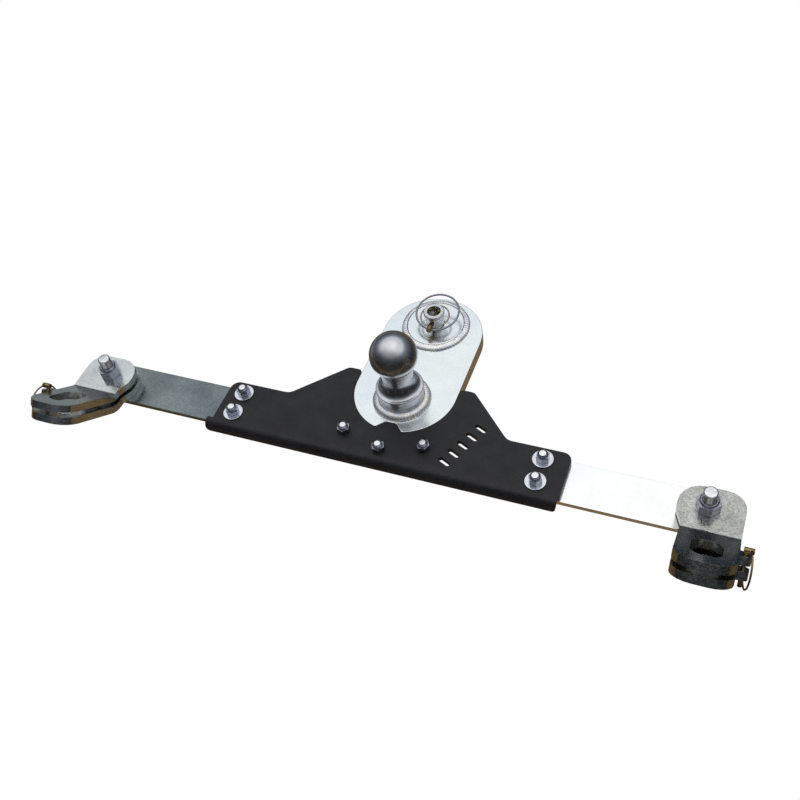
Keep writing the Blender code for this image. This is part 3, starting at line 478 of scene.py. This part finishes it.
def threaded_bolt(node, radius, pitch, depth, free_mm):
    """The node's bolt with a thread wound up its free end."""
    low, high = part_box(node)
    axis = (low + high) / 2
    top = high.z / MM
    rows = int(free_mm / pitch * THREAD_ROWS)
    profile = [(0.0, top), (radius - TIP_CHAMFER, top), (radius - 0.9, top - 0.4)]
    profile += [(radius, top - TIP_MM - free_mm * k / rows) for k in range(rows + 1)]
    profile += [(0.0, top - TIP_MM - free_mm)]
    bolt = spun(node + "_threaded", profile, THREAD_STEPS)
    for vert in bolt.data.vertices:
        reach = math.hypot(vert.co.x, vert.co.y)
        below = top - vert.co.z / MM
        if reach < (radius - 0.5) * MM or below < 1.0:
            continue
        turn = math.atan2(vert.co.y, vert.co.x) / math.tau
        saw = abs(((below / pitch + turn) % 1.0) * 2 - 1)
        groove = depth * saw * min(1.0, (below - 1.0) / pitch)
        vert.co.x *= 1 - groove * MM / reach
        vert.co.y *= 1 - groove * MM / reach
    bolt.data.transform(Matrix.Translation((axis.x, axis.y, 0)))
    work = merged(node)
    everything = list(work.verts) + list(work.edges) + list(work.faces)
    cut = bmesh.ops.bisect_plane(work, geom=everything, plane_co=(0, 0, (top - free_mm) * MM),
                                 plane_no=(0, 0, 1), clear_outer=True)
    rim = [e for e in cut["geom_cut"] if isinstance(e, bmesh.types.BMEdge)]
    bmesh.ops.contextual_create(work, geom=rim)
    work.from_mesh(bolt.data)
    work.to_mesh(bolt.data)
    work.free()
    return finished(bolt, node, 40)


for side in ("left", "right"):
    threaded_bolt("end_bolt_" + side, radius=7.7, pitch=2.31, depth=0.9, free_mm=20.0)

# The lock's spring, with a mesh of its own; in the real lock it shortens towards its upper seat as the
# spindle lifts
spring = finished(piece_of(merged("lock_spring"), "lock_spring_wound"), "lock_spring", 60)
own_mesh(spring)

# Every other piece keeps its own solid, with its edges eased by the amount its making leaves
SMALL_EASE_MM = 0.35
EASE_MM = {
    "body_plate": 0.7, "ball_plate": 0.8, "shank": 0.6, "backing_plate": 0.6,
    "bar_left": 0.6, "bar_right": 0.6,
    "lock_spindle": 0.5, "bracket_upper_left": 0.9, "bracket_upper_right": 0.9, "bracket_lower_left": 0.9,
    "bracket_lower_right": 0.9, "end_nut_left": 0.6, "end_nut_right": 0.6,
}
LEFT_AS_IS = ("lock_ball_1", "lock_ball_2", "lock_ball_3", "lock_ball_4")
replaced = {name for piece in bpy.data.objects for name in piece.get("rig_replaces", [])}
for node in sorted(set(NODES) - replaced):
    if node in LEFT_AS_IS:
        for slot in NODES[node].material_slots:
            slot.material = finish_of(node)
    else:
        eased(node, EASE_MM.get(node, SMALL_EASE_MM))

# ---------------------------------------------------------------- studio
# White to the eye. The metal mirrors a bright ceiling that darkens towards the horizon and the front
world = bpy.data.worlds.new("studio")
bpy.context.scene.world = world
world.use_nodes = True
sky = world.node_tree
sky.nodes.clear()
direction = add_node(sky, "ShaderNodeTexCoord", output="Generated")
height = add_node(sky, "ShaderNodeSeparateXYZ", {"Vector": direction}, "Z")
depth = add_node(sky, "ShaderNodeSeparateXYZ", {"Vector": direction}, "Y")
dome = add_node(sky, "ShaderNodeValToRGB", {"Fac": height}, easing="EASE", stops=[
    (0.0, grey(0.06)), (0.30, [0.12, 0.13, 0.15, 1]), (0.50, [0.28, 0.30, 0.33, 1]),
    (0.66, [0.92, 0.96, 1.0, 1]), (0.80, [1.02, 1.02, 1.02, 1]), (1.0, [1.32, 1.32, 1.34, 1])])
around = add_node(sky, "ShaderNodeMapRange", {
    "Value": depth, "From Min": -0.66, "From Max": -0.08, "To Min": 0.38, "To Max": 1.0},
    interpolation_type="SMOOTHSTEP")
dome = add_node(sky, "ShaderNodeMix", {0: 1.0, 6: dome, 7: around}, 2,
                data_type="RGBA", blend_type="MULTIPLY")
seen = add_node(sky, "ShaderNodeLightPath", output="Is Camera Ray")
shade = add_node(sky, "ShaderNodeMix", {0: seen, 6: dome, 7: grey(1.0)}, 2, data_type="RGBA")
light = add_node(sky, "ShaderNodeBackground", {"Color": shade, "Strength": 1.0})
add_node(sky, "ShaderNodeOutputWorld", {"Surface": light})


def floor_finish():
    """White to the eye. In the metal it mirrors as warm boards that darken at the front, with grey at the
    back's left and slate at its right."""
    made = bpy.data.materials.new("studio_floor")
    made.use_nodes = True
    tree = made.node_tree
    tree.nodes.clear()
    place = add_node(tree, "ShaderNodeTexCoord", output="Object")
    across = add_node(tree, "ShaderNodeSeparateXYZ", {"Vector": place}, "X")
    along = add_node(tree, "ShaderNodeSeparateXYZ", {"Vector": place}, "Y")
    sideways = add_node(tree, "ShaderNodeMath", {0: across}, operation="ABSOLUTE")
    behind, outer, near, right = [
        add_node(tree, "ShaderNodeMapRange", {"Value": value, "From Min": start, "From Max": end})
        for value, start, end in ((along, -0.25, -0.05), (sideways, 0.22, 0.32), (along, -0.42, -0.36),
                                  (across, -0.60, -0.45))]
    corner = add_node(tree, "ShaderNodeMath", {0: behind, 1: outer}, operation="MULTIPLY")
    boards = add_node(tree, "ShaderNodeMix", {0: near, 6: linear("25231F"), 7: linear("6E5A3A")}, 2,
                      data_type="RGBA")
    sides = add_node(tree, "ShaderNodeMix", {0: right, 6: linear("858B8C"), 7: linear("1F2A38")}, 2,
                     data_type="RGBA")
    mirrored = add_node(tree, "ShaderNodeMix", {0: corner, 6: boards, 7: sides}, 2, data_type="RGBA")
    glossy = add_node(tree, "ShaderNodeLightPath", output="Is Glossy Ray")
    look = add_node(tree, "ShaderNodeMix", {0: glossy, 6: grey(1.0), 7: mirrored}, 2, data_type="RGBA")
    glow = add_node(tree, "ShaderNodeEmission", {"Color": look, "Strength": 1.0})
    add_node(tree, "ShaderNodeOutputMaterial", {"Surface": glow})
    return made


FLOOR_HALF = 6.0                # metres
FLOOR_Z = cad_box[0].z - MM
floor_work = bmesh.new()
bmesh.ops.create_grid(floor_work, x_segments=1, y_segments=1, size=FLOOR_HALF,
                      matrix=Matrix.Translation((0, 0, FLOOR_Z)))
floor = piece_of(floor_work, "studio_floor")
floor.data.materials.append(floor_finish())
bpy.context.scene.collection.objects.link(floor)

# Softboxes: name, place, width, depth, watts, colour. They light the finishes and aren't mirrored in them
AIM = Vector((0.0, -0.15, 0.02))
for name, place, width, depth, watts, colour in (
        ("key_softbox", (-1.1, 0.9, 1.9), 1.6, 1.1, 14.0, (1.0, 1.0, 1.0)),
        ("top_softbox", (0.5, 0.5, 2.1), 1.5, 1.2, 12.0, (0.97, 0.99, 1.0)),
        ("front_fill", (1.0, -1.6, 0.9), 0.8, 0.8, 6.0, (1.0, 0.97, 0.92))):
    lamp = bpy.data.lights.new(name, "AREA")
    lamp.shape = "RECTANGLE"
    lamp.size = width
    lamp.size_y = depth
    lamp.energy = watts
    lamp.color = colour
    softbox = bpy.data.objects.new(name, lamp)
    softbox.location = place
    softbox.rotation_euler = (AIM - Vector(place)).to_track_quat("-Z", "Y").to_euler()
    softbox.visible_glossy = False
    bpy.context.scene.collection.objects.link(softbox)

# ---------------------------------------------------------------- camera
# Its place, in millimetres in the plate frame, and its axes, as fitted to the plates' main corners
CAMERA_PLACE = plate_point(395.277, -607.920, 951.375)
CAMERA_RIGHT = Vector((0.92725, 0.35132, -0.12951))
CAMERA_UP = Vector((-0.19609, 0.75028, 0.63137))
CAMERA_BACK = Vector((0.31898, -0.56004, 0.76459))
lens = bpy.data.cameras.new("studio_camera")
lens.sensor_width = 36.0
lens.lens = 44.675
lens.clip_start = 0.02
lens.clip_end = 50.0
camera = bpy.data.objects.new("studio_camera", lens)
camera.matrix_world = Matrix.Translation(CAMERA_PLACE) @ Matrix(
    (CAMERA_RIGHT, CAMERA_UP, CAMERA_BACK)).transposed().to_4x4()
bpy.context.scene.collection.objects.link(camera)
bpy.context.scene.camera = camera
bpy.context.scene.view_settings.view_transform = "Standard"
